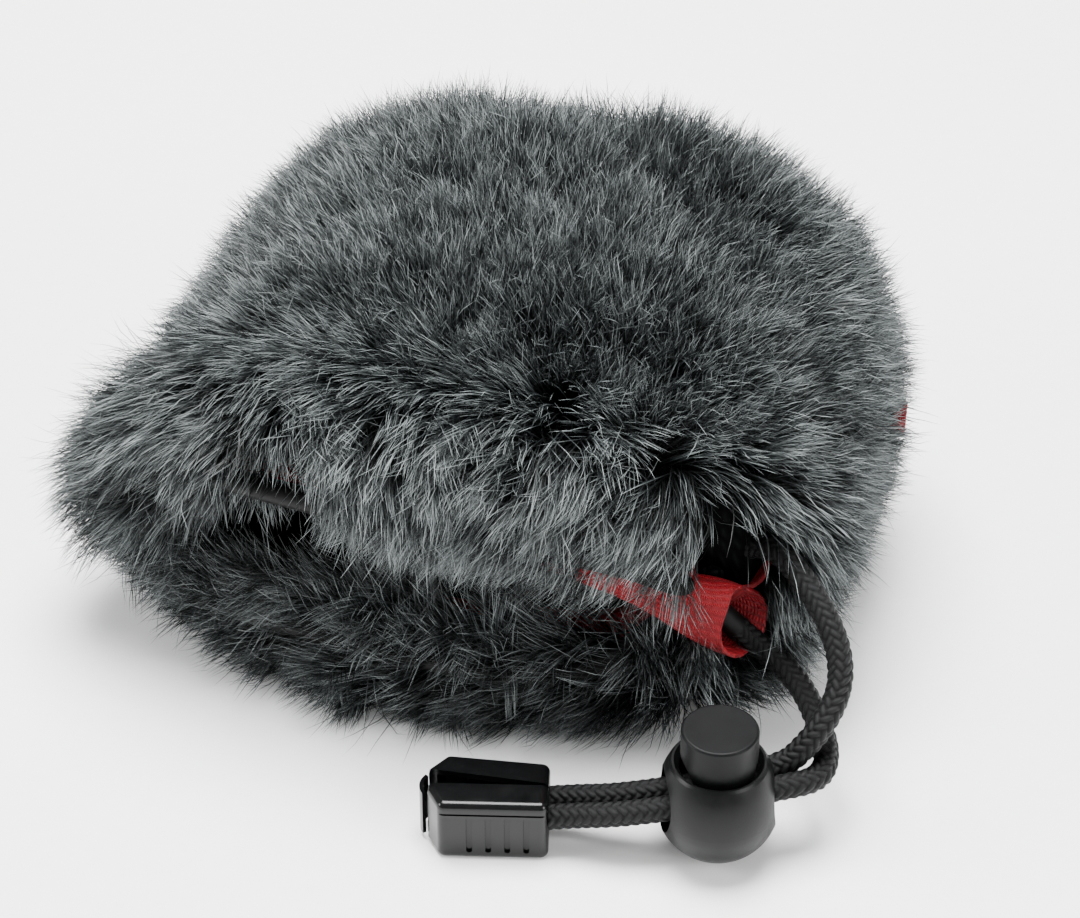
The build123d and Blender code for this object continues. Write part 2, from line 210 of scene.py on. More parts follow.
def braided_cord(name, line):
    """Radius = core + relief x (1 - (2 frac(a) - 1)^2) where yarn a lies over yarn b, and the same in b
    where it lies under, with a = n turn + along / pitch, b = n turn - along / pitch. A yarn is over where
    (floor a + floor b) mod 4 < 2, and dips at both ends of its float."""
    spaced, along = even_line(line, 0.16 * MM)
    forward, across, over = tube_frames(spaced, (0, 0, 1))
    around = 72
    turn = np.arange(around) / around
    a = yarns_each_way * turn[None, :] + along[:, None] / yarn_pitch
    b = yarns_each_way * turn[None, :] - along[:, None] / yarn_pitch
    order = np.mod(np.floor(a) + np.floor(b), 4)
    a_over = order < 2
    own = np.where(a_over, np.mod(a, 1), np.mod(b, 1))
    second_half = np.mod(order, 2) == 1
    float_place = np.where(a_over, np.mod(b, 1), np.mod(a, 1)) + second_half
    crown = 1 - (2 * own - 1) ** 2
    dip = 1 - np.abs(float_place - 1) ** 3
    relief = np.clip(crown * (0.35 + 0.65 * dip), 0, 1)
    radius = cord_diameter / 2 - core_inset + yarn_relief * relief
    angle = 2 * np.pi * turn
    places = spaced[:, None, :] + radius[..., None] * (np.cos(angle)[None, :, None] * across[:, None, :]
                                                       + np.sin(angle)[None, :, None] * over[:, None, :])
    uv = np.stack([np.broadcast_to(turn[None, :] * jacket_girth, a.shape),
                   np.broadcast_to(along[:, None] / MM, a.shape)], -1)
    rows = len(spaced)
    faces = grid_faces(rows, around, True)[:, ::-1]
    ring = np.arange(around)
    start_cap = np.stack([np.full(around, rows * around), ring, (ring + 1) % around], -1)
    last = (rows - 1) * around
    end_cap = np.stack([np.full(around, rows * around + 1), last + (ring + 1) % around, last + ring], -1)
    all_places = np.concatenate([places.reshape(-1, 3), spaced[:1], spaced[-1:]])
    all_uv = np.concatenate([uv.reshape(-1, 2), [[0, 0], [0, 0]]])
    all_faces = faces.tolist() + start_cap.tolist() + end_cap.tolist()
    piece = new_piece(name, all_places, all_faces, braid, all_uv)
    # These yarn heights also drive the braid's colour, as painted shade in the low gaps between yarns.
    heights = piece.data.attributes.new("yarn", "FLOAT", "POINT")
    heights.data.foreach_set("value", np.concatenate([relief.ravel(), [0.0, 0.0]]))
    return piece


rear_line = smooth_line(rear_route, "rear_route")
front_line = smooth_line(front_route, "front_route")
rear_cord = braided_cord("rear_cord", rear_line)
front_cord = braided_cord("front_cord", front_line)
lock_pieces = [bpy.data.objects[name] for name in ("lock_body", "lock_plunger", "lock_spring")]
end_names = ("cord_end_front", "cord_end_back", "cord_end_strip", "cord_tails")
end_pieces = [bpy.data.objects[name] for name in end_names]
for cord_piece, cord_node, cord_line, cord_length, cord_route, riders in (
        (rear_cord, "rear_strand", rear_line, 0.083, rear_route, lock_pieces + end_pieces),
        (front_cord, "front_strand", front_line, 0.070, front_route, end_pieces)):
    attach(cord_piece, "windscreen")
    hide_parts(cord_node)


# ---------------------------------------------------------------------------------------------------------
# Cord lock: a ball moulded in black acetal with a satin skin, and its plunger in the same plastic. A coil of
# bare spring wire pushes the plunger up, which grips both strands between its slot and the ball's hole.
def moulded_plastic(name, colour, roughness, shine, grain, grain_depth, scuff):
    """Black plastic: a fine moulded grain, cloudy gloss, and hairline scuffs along one direction."""
    material, shader, node, link = new_material(name)
    place = node("ShaderNodeTexCoord").outputs["Object"]
    clouds = node("ShaderNodeTexNoise", {"Vector": place, "Scale": 320.0, "Detail": 5.0, "Roughness": 0.6})
    fine = node("ShaderNodeTexNoise", {"Vector": place, "Scale": grain, "Detail": 3.0, "Roughness": 0.7})
    turned = node("ShaderNodeMapping", {"Vector": place, "Rotation": (0.4, 0.5, 0.7),
                                        "Scale": (60.0, 900.0, 2600.0)})
    lines = node("ShaderNodeTexNoise", {"Vector": turned.outputs["Vector"], "Scale": 1.0, "Detail": 2.0})
    hairline = node("ShaderNodeMapRange", {"Value": lines.outputs["Fac"], "From Min": 0.74, "From Max": 0.80})
    tone = ramp(node, clouds.outputs["Fac"], [(0.3, tuple(0.8 * value for value in colour)), (0.7, colour)])
    worn = node("ShaderNodeMix", {0: hairline.outputs["Result"], 6: tone, 7: (0.014, 0.015, 0.0155, 1.0)},
                data_type="RGBA")
    link(worn.outputs[2], shader.inputs["Base Color"])
    cloudy = node("ShaderNodeMapRange", {"Value": clouds.outputs["Fac"], "From Min": 0.3, "From Max": 0.7,
                                         "To Min": roughness - 0.05, "To Max": roughness + 0.07})
    dulled = node("ShaderNodeMath", {0: hairline.outputs["Result"], 1: scuff, 2: cloudy.outputs["Result"]},
                  operation="MULTIPLY_ADD")
    link(dulled.outputs[0], shader.inputs["Roughness"])
    bump = node("ShaderNodeBump", {"Height": fine.outputs["Fac"], "Strength": 0.35, "Distance": grain_depth})
    link(bump.outputs["Normal"], shader.inputs["Normal"])
    shader.inputs["Specular IOR Level"].default_value = shine
    return material


def dress(node_name, material):
    """Puts one material on a CAD node's object."""
    slots = bpy.data.objects[node_name].data.materials
    slots.clear()
    slots.append(material)


satin_black = moulded_plastic("satin_acetal", (0.0022, 0.0024, 0.0025), 0.34, 0.16, 2600.0, 0.00003, 0.08)
button_black = moulded_plastic("button_acetal", (0.003, 0.0032, 0.0034), 0.45, 0.10, 3200.0, 0.00003, 0.10)
dress("lock_body", satin_black)
dress("lock_plunger", button_black)

wire, shader, node, link = new_material("spring_wire")
place = node("ShaderNodeTexCoord").outputs["Object"]
drawn = node("ShaderNodeTexNoise", {"Vector": place, "Scale": 1800.0, "Detail": 3.0})
link(ramp(node, drawn.outputs["Fac"], [(0.3, (0.34, 0.34, 0.35)), (0.7, (0.56, 0.56, 0.57))]),
     shader.inputs["Base Color"])
shader.inputs["Metallic"].default_value = 1.0
shader.inputs["Roughness"].default_value = 0.33
dress("lock_spring", wire)


# ---------------------------------------------------------------------------------------------------------
# Cord end: two half shells and their hinge strip, moulded in one piece of polished black plastic and snapped
# shut over the melted tails of the cord. Moulded grooves on the front give the fingers a grip.
polished_black = moulded_plastic("polished_acetal", (0.002, 0.0022, 0.0023), 0.2, 0.24, 1400.0, 0.00002, 0.12)
for shell in ("cord_end_front", "cord_end_back", "cord_end_strip"):
    dress(shell, polished_black)
dress("cord_tails", braid)


# ---------------------------------------------------------------------------------------------------------
# Casings: red woven tape folded into two flat tunnels and sewn along the lips of the mouth, one above and
# one below. The elastic cord runs inside, and comes out where each tunnel is left open at the right corner.
tape_thickness = 0.55 * MM
tape_points = 56            # points round a tunnel
tunnel_half_width, tunnel_half_depth = 3.3 * MM, 2.5 * MM
tunnel_reference = (0, 1, 0.001)
upper_casing_route = [(-43.0, -24, 22), (-43.0, -24, 27), (-37, -27, 31.0), (-16, -30.5, 32.0),
                      (10, -31.5, 32.4), (27, -33.0, 30.5), (37.5, -31.2, 24.6), (44.6, -29.6, 22.2)]
lower_casing_route = [(-43.0, -24, 22), (-42.0, -22, 16), (-36, -22.5, 10.2), (-16, -24.5, 8.6),
                      (8, -25.0, 8.6), (25, -25.0, 11.0), (34.5, -25.5, 18.5), (38.9, -25.6, 25),
                      (41.8, -25.0, 29.2)]

tape, shader, node, link = new_material("red_tape")
surface = node("ShaderNodeUVMap", uv_map="surface").outputs["UV"]
ribs = node("ShaderNodeTexWave", {"Vector": surface, "Scale": 0.62, "Distortion": 0.5, "Detail": 1.0,
                                  "Detail Scale": 2.0}, bands_direction="X")
picks = node("ShaderNodeTexWave", {"Vector": surface, "Scale": 0.9, "Distortion": 0.6, "Detail": 1.0},
             bands_direction="Y")
weave = node("ShaderNodeMath", {0: ribs.outputs["Fac"], 1: picks.outputs["Fac"]}, operation="MULTIPLY")
stain = node("ShaderNodeTexNoise", {"Vector": surface, "Scale": 0.35, "Detail": 4.0, "Roughness": 0.6})
thread_tone = ramp(node, weave.outputs[0], [(0.0, (0.09, 0.0008, 0.003)), (0.5, (0.26, 0.002, 0.007)),
                                            (1.0, (0.46, 0.006, 0.014))])
faded = node("ShaderNodeMix", {0: stain.outputs["Fac"], 6: thread_tone, 7: (0.16, 0.001, 0.005, 1.0)},
             data_type="RGBA")
link(faded.outputs[2], shader.inputs["Base Color"])
bump = node("ShaderNodeBump", {"Height": weave.outputs[0], "Strength": 0.8, "Distance": 0.00025})
link(bump.outputs["Normal"], shader.inputs["Normal"])
shader.inputs["Roughness"].default_value = 0.6
shader.inputs["Specular IOR Level"].default_value = 0.25


def wavy(places, size, seed):
    """A smooth wander in three directions: a sum of six sine waves about one size long."""
    random = np.random.default_rng(seed)
    total = np.zeros(places.shape)
    for _ in range(6):
        heading = unit(random.normal(size=3)) * 2 * np.pi / (size * random.uniform(0.7, 1.5))
        lean = random.normal(size=3)
        total = total + np.sin(places @ heading + random.uniform(0, 2 * np.pi))[..., None] * lean
    return total / math.sqrt(6)


def tape_tunnel(name, route, flare, twist, slant):
    """Across = half_width cos v, over = half_depth sin v |sin v|^-0.25, turned by twist x the last fifth;
    both widen by flare towards the open end, whose front is cut back by slant x (offset . front) /
    half_width."""
    spaced, along = even_line(smooth_line(route, name), 0.45 * MM)
    forward, across, over = tube_frames(spaced, tunnel_reference)
    half_width, half_depth = tunnel_half_width, tunnel_half_depth
    share = along / along[-1]
    opening = np.clip((share - 0.8) / 0.2, 0, 1) ** 1.5
    angle = np.arange(tape_points) / tape_points * 2 * np.pi
    turn = twist * opening[:, None]
    wide = (half_width * (1 + flare * opening))[:, None] * np.cos(angle)[None, :]
    boxy = np.sign(np.sin(angle)) * np.abs(np.sin(angle)) ** 0.75
    deep = (half_depth * (1 + 0.9 * flare * opening))[:, None] * boxy[None, :]
    sideways = wide * np.cos(turn) - deep * np.sin(turn)
    upward = wide * np.sin(turn) + deep * np.cos(turn)
    offset = sideways[..., None] * across[:, None, :] + upward[..., None] * over[:, None, :]
    cut_back = slant * opening[:, None] * (offset @ casing_front) / half_width
    places = spaced[:, None, :] + offset - cut_back[..., None] * forward[:, None, :]
    places = places + wavy(places, 9 * MM, 5) * 0.28 * MM + wavy(places, 3 * MM, 6) * 0.07 * MM
    girth = 4.2 * half_width
    uv = np.stack([np.broadcast_to(angle[None, :] / (2 * np.pi) * girth / MM, wide.shape),
                   np.broadcast_to(along[:, None] / MM, wide.shape)], -1)
    faces = grid_faces(len(spaced), tape_points, True)[:, ::-1]
    piece = new_piece(name, places.reshape(-1, 3), faces, tape, uv.reshape(-1, 2))
    wall = piece.modifiers.new("wall", "SOLIDIFY")
    wall.thickness = tape_thickness
    wall.offset = 0.0
    return piece


casing_front = np.array([0.25, -0.77, 0.59])
upper_tunnel = tape_tunnel("upper_casing", upper_casing_route, flare=0.35, twist=0.5, slant=3.6 * MM)
lower_tunnel = tape_tunnel("lower_casing", lower_casing_route, flare=0.45, twist=-0.3, slant=4.0 * MM)
for tunnel, casing_node in ((upper_tunnel, "casing_upper"), (lower_tunnel, "casing_lower")):
    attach(tunnel, "windscreen")
    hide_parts(casing_node)
dress("cord_in_casing", braid)


# ---------------------------------------------------------------------------------------------------------
# Backing: five panels of black knit, sewn into a pouch that sags between its seams. Rings lie one behind the
# other from the mouth's rim to the back, and each is a flattened oval with its own top and bottom.
knit_thickness = 1.2 * MM
ring_place = [0.0, 0.05, 0.11, 0.20, 0.36, 0.56, 0.76, 0.89, 0.96, 1.0]
ring_y = [-28.5, -32.0, -33.5, -29.5, -15.0, 4.0, 22.0, 32.0, 36.0, 37.5]
ring_left = [-43.5, -45.0, -46.0, -46.5, -43.5, -40.5, -38.5, -36.0, -26.0, 2.0]
ring_right = [41.0, 42.0, 43.0, 46.5, 49.0, 48.0, 46.0, 41.0, 29.0, 2.0]
ring_top = [32.5, 36.0, 40.5, 46.0, 52.0, 55.0, 55.5, 52.5, 44.0, 26.0]
ring_bottom = [10.5, 9.0, 7.0, 5.0, 4.2, 4.2, 4.2, 6.0, 13.0, 26.0]
ring_left_power = [2.1, 2.1, 2.1, 2.1, 2.2, 2.3, 2.5, 2.5, 2.3, 2.0]
ring_right_power = [2.2, 2.4, 2.6, 3.0, 3.2, 3.2, 3.0, 2.6, 2.3, 2.0]
ring_bow = [7.0, 8.0, 8.5, 7.0, 3.0, 0.0, 0.0, 0.0, 0.0, 0.0]
seam_level = 22.0


def eased(place, values):
    """A smooth curve through the ring table: linear between its rows, averaged over three places nearby."""
    near = 0.022
    return sum(np.interp(np.clip(place + shift, 0, 1), ring_place, values) for shift in (-near, 0, near)) / 3


def step(low, high, value):
    """0 below low, 1 above high, and a smooth rise between."""
    share = np.clip((value - low) / (high - low), 0, 1)
    return share * share * (3 - 2 * share)


def parting(x):
    """How far back the pile parts across the top: it runs aslant, foremost over the mouth's right half."""
    return np.interp(x, [-45, -38, -19, -4, 13, 30, 43, 50], [-12, -13.5, -20.5, -22, -23, -23.5, -18.5, -10])


def backing(t, turn):
    """x = middle + half width c, z = seam level + (top or bottom reach) s, y = ring's y + bow (x / 45)^2,
    with c = cos|cos|^(2/n - 1) and s = sin|sin|^(2/n - 1) of the turn, less a shallow sag between the
    seams."""
    angle = 2 * np.pi * turn
    power = 2 / np.where(np.cos(angle) < 0, eased(t, ring_left_power), eased(t, ring_right_power))
    c = np.sign(np.cos(angle)) * np.abs(np.cos(angle)) ** power
    s = np.sign(np.sin(angle)) * np.abs(np.sin(angle)) ** power
    low, high = eased(t, ring_left), eased(t, ring_right)
    x = (low + high) / 2 + (high - low) / 2 * c
    level = np.interp(t, [0, 0.9, 1], [seam_level, seam_level, 25.0])
    z = level + np.where(s > 0, eased(t, ring_top) - level, level - eased(t, ring_bottom)) * s
    y = eased(t, ring_y) + eased(t, ring_bow) * ((x + 4) / 45) ** 2
    upper, lower, rim = np.clip(s, 0, 1), np.clip(-s, 0, 1), step(0.18, 0.0, t)
    x = x + 3.5 * lower * step(-20, -46, x)
    y = y + 4.5 * lower * step(0, -46, x) * step(-10, -30, y)
    z = z + 5.5 * rim * upper * np.exp(-((x + 20) / 15) ** 2)
    z = z + 5.5 * rim * lower * np.exp(-((x + 12) / 24) ** 2)
    z = z - 1.8 * upper * np.exp(-((y - parting(x)) / 4) ** 2)
    z = z - 3.2 * upper * np.exp(-((x + 1.2 * y - 38) / 7) ** 2) * step(0.12, 0.25, t)
    z = z - 6.0 * upper * step(-24, -44, x) * step(12, -12, y)
    z = z - 1.5 * upper * np.exp(-((y - 4) / 9) ** 2) * np.exp(-(x / 26) ** 2)
    return np.stack([x, y, z], -1) * MM


def panel_of(places):
    """Which panel a point is on: 0 base, 1 left side, 2 right side, 3 lip, 4 crown."""
    x, y, z = (places / MM).T
    panel = np.where(y < -13.0, 3, 4)
    panel = np.where(x + 0.95 * y > 43.0, 2, panel)
    panel = np.where(x < -38.0, 1, panel)
    return np.where(z < seam_level, 0, panel)


knit, shader, node, link = new_material("black_knit")
surface = node("ShaderNodeTexCoord").outputs["Object"]
wales = node("ShaderNodeTexWave", {"Vector": surface, "Scale": 190.0, "Distortion": 2.2, "Detail": 2.0,
                                   "Detail Scale": 1.5}, bands_direction="X")
courses = node("ShaderNodeTexWave", {"Vector": surface, "Scale": 240.0, "Distortion": 2.0, "Detail": 2.0},
               bands_direction="DIAGONAL")
loops = node("ShaderNodeMath", {0: wales.outputs["Fac"], 1: courses.outputs["Fac"]}, operation="MULTIPLY")
link(ramp(node, loops.outputs[0], [(0.0, (0.0006, 0.0007, 0.0007)), (1.0, (0.0032, 0.0036, 0.0038))]),
     shader.inputs["Base Color"])
bump = node("ShaderNodeBump", {"Height": loops.outputs[0], "Strength": 0.6, "Distance": 0.0003})
link(bump.outputs["Normal"], shader.inputs["Normal"])
shader.inputs["Roughness"].default_value = 0.95
shader.inputs["Specular IOR Level"].default_value = 0.05

panel_names = ["base", "left_side", "right_side", "lip", "crown"]
rows, columns = 150, 300
last_ring = 0.999           # just short of the point where the rings close
row_place = np.linspace(0, 1, rows) ** 0.9 * last_ring
row_t, column_turn = np.meshgrid(row_place, np.arange(columns) / columns, indexing="ij")
shell_places = backing(row_t, column_turn).reshape(-1, 3)
shell_faces = grid_faces(rows, columns, True)
face_panel = panel_of(shell_places[shell_faces].mean(1))
for index, panel_name in enumerate(panel_names):
    own_faces = shell_faces[face_panel == index]
    used, renumbered = np.unique(own_faces, return_inverse=True)
    cloth = new_piece(panel_name + "_backing", shell_places[used], renumbered.reshape(-1, 4), knit)
    wall = cloth.modifiers.new("wall", "SOLIDIFY")
    wall.thickness = knit_thickness
    wall.offset = -1.0
    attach(cloth, "windscreen")
    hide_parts(panel_name + "_knit")


# ---------------------------------------------------------------------------------------------------------
# Fur: crinkled acrylic pile, knitted into the backing in small tufts. Each hair is a narrow blade, nearly
# black at its root and pale grey at its tip, that leans with the lie of its panel and bunches with its tuft.
random = np.random.default_rng(11)
tuft_count = 15400
hairs_in_tuft = 16
hair_stops = np.array([0.0, 0.3, 0.58, 0.82, 1.0])
mouth_right = np.array([0.951, 0.309, 0.0])
slope_up = np.array([-0.182, 0.559, 0.809])

cells_deep, cells_round = 240, 480
fine_place, fine_round = np.linspace(0.0, last_ring, cells_deep + 1), np.linspace(0, 1, cells_round + 1)
fine_t, fine_turn = np.meshgrid(fine_place, fine_round, indexing="ij")
fine = backing(fine_t, fine_turn)
down_step = fine[1:, :-1] - fine[:-1, :-1]
side_step = fine[:-1, 1:] - fine[:-1, :-1]
cell_area = np.linalg.norm(np.cross(down_step, side_step), axis=-1)
cell_middle = fine[:-1, :-1] / MM
underneath = (cell_middle[..., 2] < 7.0) & (cell_middle[..., 1] > -22.0)
weight = cell_area * np.where(underneath, 0.2, 1.0)
running = np.cumsum(weight.ravel()) / weight.sum()
chosen = np.searchsorted(running, random.random(tuft_count))
tuft_t = (chosen // cells_round + random.random(tuft_count)) / cells_deep * last_ring
tuft_turn = (chosen % cells_round + random.random(tuft_count)) / cells_round


def lie_of(t, turn):
    """Root, unit normal, and how far a step of t and of turn goes, at places on the backing."""
    small = 0.0015
    root = backing(t, turn)
    by_t = (backing(np.clip(t + small, 0, 0.9995), turn) - backing(np.clip(t - small, 0, 1), turn)) / (
        np.clip(t + small, 0, 0.9995) - np.clip(t - small, 0, 1))[:, None]
    by_turn = (backing(t, turn + small) - backing(t, turn - small)) / (2 * small)
    return root, unit(np.cross(by_t, by_turn)), np.linalg.norm(by_t, axis=1), np.linalg.norm(by_turn, axis=1)


def flow(t, root, normal):
    """The lie of the pile, its lean and its length at a root: each region's own, mixed by smooth steps."""
    x, y, z = (root / MM).T
    one = np.ones((len(x), 1))
    crown_side = np.interp(x, [-40, -15, 5, 25, 45], [-1.4, -0.9, -0.2, 0.3, 0.9])
    crown = np.stack([crown_side, 0.8 + 0 * x, 0.1 + 0 * x], 1)
    sideways = np.interp(x, [-45, -30, -15, 5, 22, 34, 44], [-1.3, -0.5, 0.05, -0.5, -1.15, -0.7, 0.9])
    lip = -slope_up * one + mouth_right * sideways[:, None]
    left = -mouth_right * one - 0.42 * slope_up * one
    rightwards = mouth_right * one + slope_up * (0.25 - 1.2 * step(6, -26, y))[:, None]
    low_front = -mouth_right * 1.0 * one - 0.55 * slope_up * one
    low_right = np.array([0.8, -0.5, -0.6]) * one
    back = np.stack([0.25 * x / 40, 1.0 + 0 * x, -0.35 + 0 * x], 1)
    front_share = step(3.5, -4.5, y - parting(x))
    along = crown * (1 - front_share[:, None]) + lip * front_share[:, None]
    left_share = step(-27, -44, x)
    along = along * (1 - left_share[:, None]) + left * left_share[:, None]
    right_share = step(31, 44, x + 1.2 * y) * step(-34, -20, y)
    along = along * (1 - right_share[:, None]) + rightwards * right_share[:, None]
    back_share = step(16, 30, y)
    along = along * (1 - back_share[:, None]) + back * back_share[:, None]
    low_share = step(21, 13, z)
    corner = step(26, 40, x)[:, None]
    low = low_front * (1 - corner) + low_right * corner
    rolled = step(-29, -32.5, y - 8 * ((x + 4) / 45) ** 2) * step(7.5, 10, z)
    low = low + rolled[:, None] * np.array([0, 0.3, 1.5])
    around = np.stack([x / 40, y / 30, -0.5 + 0 * x], 1)
    low = low * step(6, -16, y)[:, None] + around * (1 - step(6, -16, y)[:, None])
    along = along * (1 - low_share[:, None]) + low * low_share[:, None]
    along = along + wavy(root, 16 * MM, 21) * 0.38 + wavy(root, 6 * MM, 22) * 0.34
    along = unit(along - normal * (along * normal).sum(1)[:, None])
    lean = (0.28 + 0.34 * step(8, -28, x) + 0.12 * step(28, 46, x)) * (1 - front_share) + 0.86 * front_share
    lean = lean + 0.15 * left_share + 0.15 * right_share + 0.25 * low_share
    length = 10.5 + 4.3 * front_share + 1.0 * left_share + 1.5 * right_share + 0.5 * low_share
    length = length - 2.6 * np.exp(-((x + 22) / 17) ** 2) * step(0.22, 0.05, t) * step(28, 34, z)
    length = length - 2.5 * low_share * np.clip(step(-20, -40, x) + step(36, 46, x), 0, 1)
    length = length - 2.5 * step(40, 48, x) * step(34, 24, z) * step(8, -8, y)
    return along, np.clip(lean, 0, 1.05), np.clip(length, 0, 15.0) * MM


root, normal, reach_t, reach_turn = lie_of(tuft_t, tuft_turn)
along, lean, length = flow(tuft_t, root, normal)
tuft_wander = wavy(root, 2.5 * MM, 23) * 0.22 + random.normal(size=root.shape) * 0.16
tuft_length = length * random.uniform(0.74, 1.12, tuft_count)
tuft_front = step(3.5, -4.5, root[:, 1] / MM - parting(root[:, 0] / MM))
tuft_tone_and_shade = random.normal(size=tuft_count) * 0.16 + wavy(root, 7 * MM, 24)[:, 0] * 0.13
# Painted shade: tufts rooted below about 20 mm, and fully below 14 mm, are made darker for the shade on the
# lower lobe. Tufts behind the parting are a little darker as well.
tuft_tone_and_shade += 0.22 * step(20, 14, root[:, 2] / MM) + 0.12 * (1 - tuft_front)


def hair_lines(root, normal, along, lean, length, wander, crimp):
    """Each stretch heads along normal cos a + lie sin a + wander s, with a = lean (0.55 + 0.75 s), then
    droops by s^2; a hair is the sum of its stretches."""
    lines = [root]
    for before, after in zip(hair_stops[:-1], hair_stops[1:]):
        s = (before + after) / 2
        angle = (lean * (0.55 + 0.75 * s))[:, None]
        heading = normal * np.cos(angle) + along * np.sin(angle) + wander * (0.35 + s) + crimp * (s - 0.3)
        heading = unit(heading) + np.array([0, 0, -0.16 * s * s])
        lines.append(lines[-1] + unit(heading) * (length * (after - before))[:, None])
    return np.stack(lines, 1)


guides = hair_lines(root, normal, along, lean, tuft_length, tuft_wander, 0 * tuft_wander)

owner = np.repeat(np.arange(tuft_count), hairs_in_tuft)
hair_count = len(owner)
spread = random.normal(size=(hair_count, 2)) * 0.75 * MM
hair_t = np.clip(tuft_t[owner] + spread[:, 0] / reach_t[owner], 0.0, 0.9985)
hair_turn = tuft_turn[owner] + np.clip(spread[:, 1] / np.maximum(reach_turn[owner], 3 * MM), -0.04, 0.04)
hair_root, hair_normal, _, _ = lie_of(hair_t, hair_turn)
loose = random.random(hair_count) < 0.07
own_wander = tuft_wander[owner] + random.normal(size=(hair_count, 3)) * np.where(loose, 0.36, 0.20)[:, None]
crimp = random.normal(size=(hair_count, 3)) * np.where(loose, 0.60, 0.34)[:, None]
own_length = tuft_length[owner] * random.uniform(0.72, 1.1, hair_count) * np.where(loose, 1.12, 1.0)
hairs = hair_lines(hair_root, hair_normal, along[owner], lean[owner], own_length, own_wander, crimp)
bunch = np.where(loose, 0.0, random.uniform(0.1, 0.5, hair_count) + 0.3 * tuft_front[owner])
hairs = hairs + (guides[owner] - hairs) * (bunch[:, None] * hair_stops[None, :] ** 1.3)[..., None]
floor_rest = 0.25 * MM + 0.9 * MM * random.random(hair_count)
hairs[..., 2] = np.maximum(hairs[..., 2], floor_rest[:, None])


def away_from(places, line, clearance):
    """Whether every point of each hair is further than a clearance from a line."""
    near = np.ones(len(places), bool)
    low, high = line.min(0) - clearance, line.max(0) + clearance
    inside = ((places > low) & (places < high)).all(2).any(1)
    tested = places[inside]
    between = np.concatenate([tested, (tested[:, 1:] + tested[:, :-1]) / 2], 1)
    gap = np.full(len(tested), 1.0)
    for point in line[::3]:
        gap = np.minimum(gap, np.linalg.norm(between - point, axis=2).min(1))
    near[inside] = gap > clearance
    return near


cord_room = 2.3 * MM
kept = away_from(hairs, rear_line, cord_room) & away_from(hairs, front_line, cord_room)

# The pile is combed open over the tag and the two casing ends, towards the front right
combed = np.array([0.25, -0.77, 0.59])
combed_places = [((56.0, 19.4, 24.8), 1.8), ((41.0, -25.2, 28.0), 3.8), ((38.8, -24.5, 25.6), 3.6),
                 ((42.0, -23.5, 28.4), 2.4), ((46.0, -24.5, 30.0), 2.2), ((44.4, -29.2, 22.2), 4.0)]
combed_reach = 22 * MM
for middle, breadth in combed_places:
    offset = hairs - np.array(middle) * MM
    forward_reach = np.clip(offset @ combed, 0, combed_reach)
    sideways_gap = np.linalg.norm(offset - forward_reach[..., None] * combed, axis=2)
    crossing = (sideways_gap < breadth * MM).any(1)
    kept &= ~(crossing & (random.random(hair_count) < 0.93))
ball = np.array([46.6, -49.6, 9.0]) * MM
kept &= (np.linalg.norm((hairs - ball) * np.array([1, 1, 0.8]), axis=2) > 9.0 * MM).all(1)
end_middle = np.array([17.5, -56.2, 4.7]) * MM
end_along = np.array([math.cos(math.radians(15)), math.sin(math.radians(15)), 0])
end_side = np.array([-end_along[1], end_along[0], 0])
offset = hairs - end_middle
kept &= ~((np.abs(offset @ end_along) < 10.5 * MM) & (np.abs(offset @ end_side) < 7.0 * MM)
          & (hairs[..., 2] < 11.0 * MM)).any(1)

pile, shader, node, link = new_material("grey_pile")
strand = node("ShaderNodeAttribute", attribute_name="strand")
split = node("ShaderNodeSeparateXYZ", {"Vector": strand.outputs["Vector"]})
grey_stops = [(0.0, (0.001, 0.0012, 0.0012)), (0.45, (0.0035, 0.0043, 0.0044)), (0.72, (0.036, 0.043, 0.044)),
              (1.0, (0.36, 0.40, 0.40))]
dark_stops = [(0.0, (0.0008, 0.0009, 0.0009)), (0.6, (0.0022, 0.0026, 0.0027)), (1.0, (0.016, 0.0195, 0.020))]
length_tone = ramp(node, split.outputs["X"], grey_stops)
dark_tone = ramp(node, split.outputs["X"], dark_stops)
mixed = node("ShaderNodeMix", {0: split.outputs["Y"], 6: length_tone, 7: dark_tone}, data_type="RGBA")
link(mixed.outputs[2], shader.inputs["Base Color"])
shader.inputs["Roughness"].default_value = 0.45
shader.inputs["Specular IOR Level"].default_value = 0.22

hair_width = np.array([0.12, 0.13, 0.12, 0.09, 0.0]) * MM
hairs, hair_normal_kept = hairs[kept], hair_normal[kept]
own_root_panel = panel_of(hair_root[kept])
# Each hair's darkness: a random tone plus its tuft's, which carries the painted shade low on the pouch.
darkness_and_shade = np.clip(random.normal(0.56, 0.40, len(hairs)) + tuft_tone_and_shade[owner[kept]], 0, 1)
facing_turn = random.normal(size=len(hairs)) * 0.7


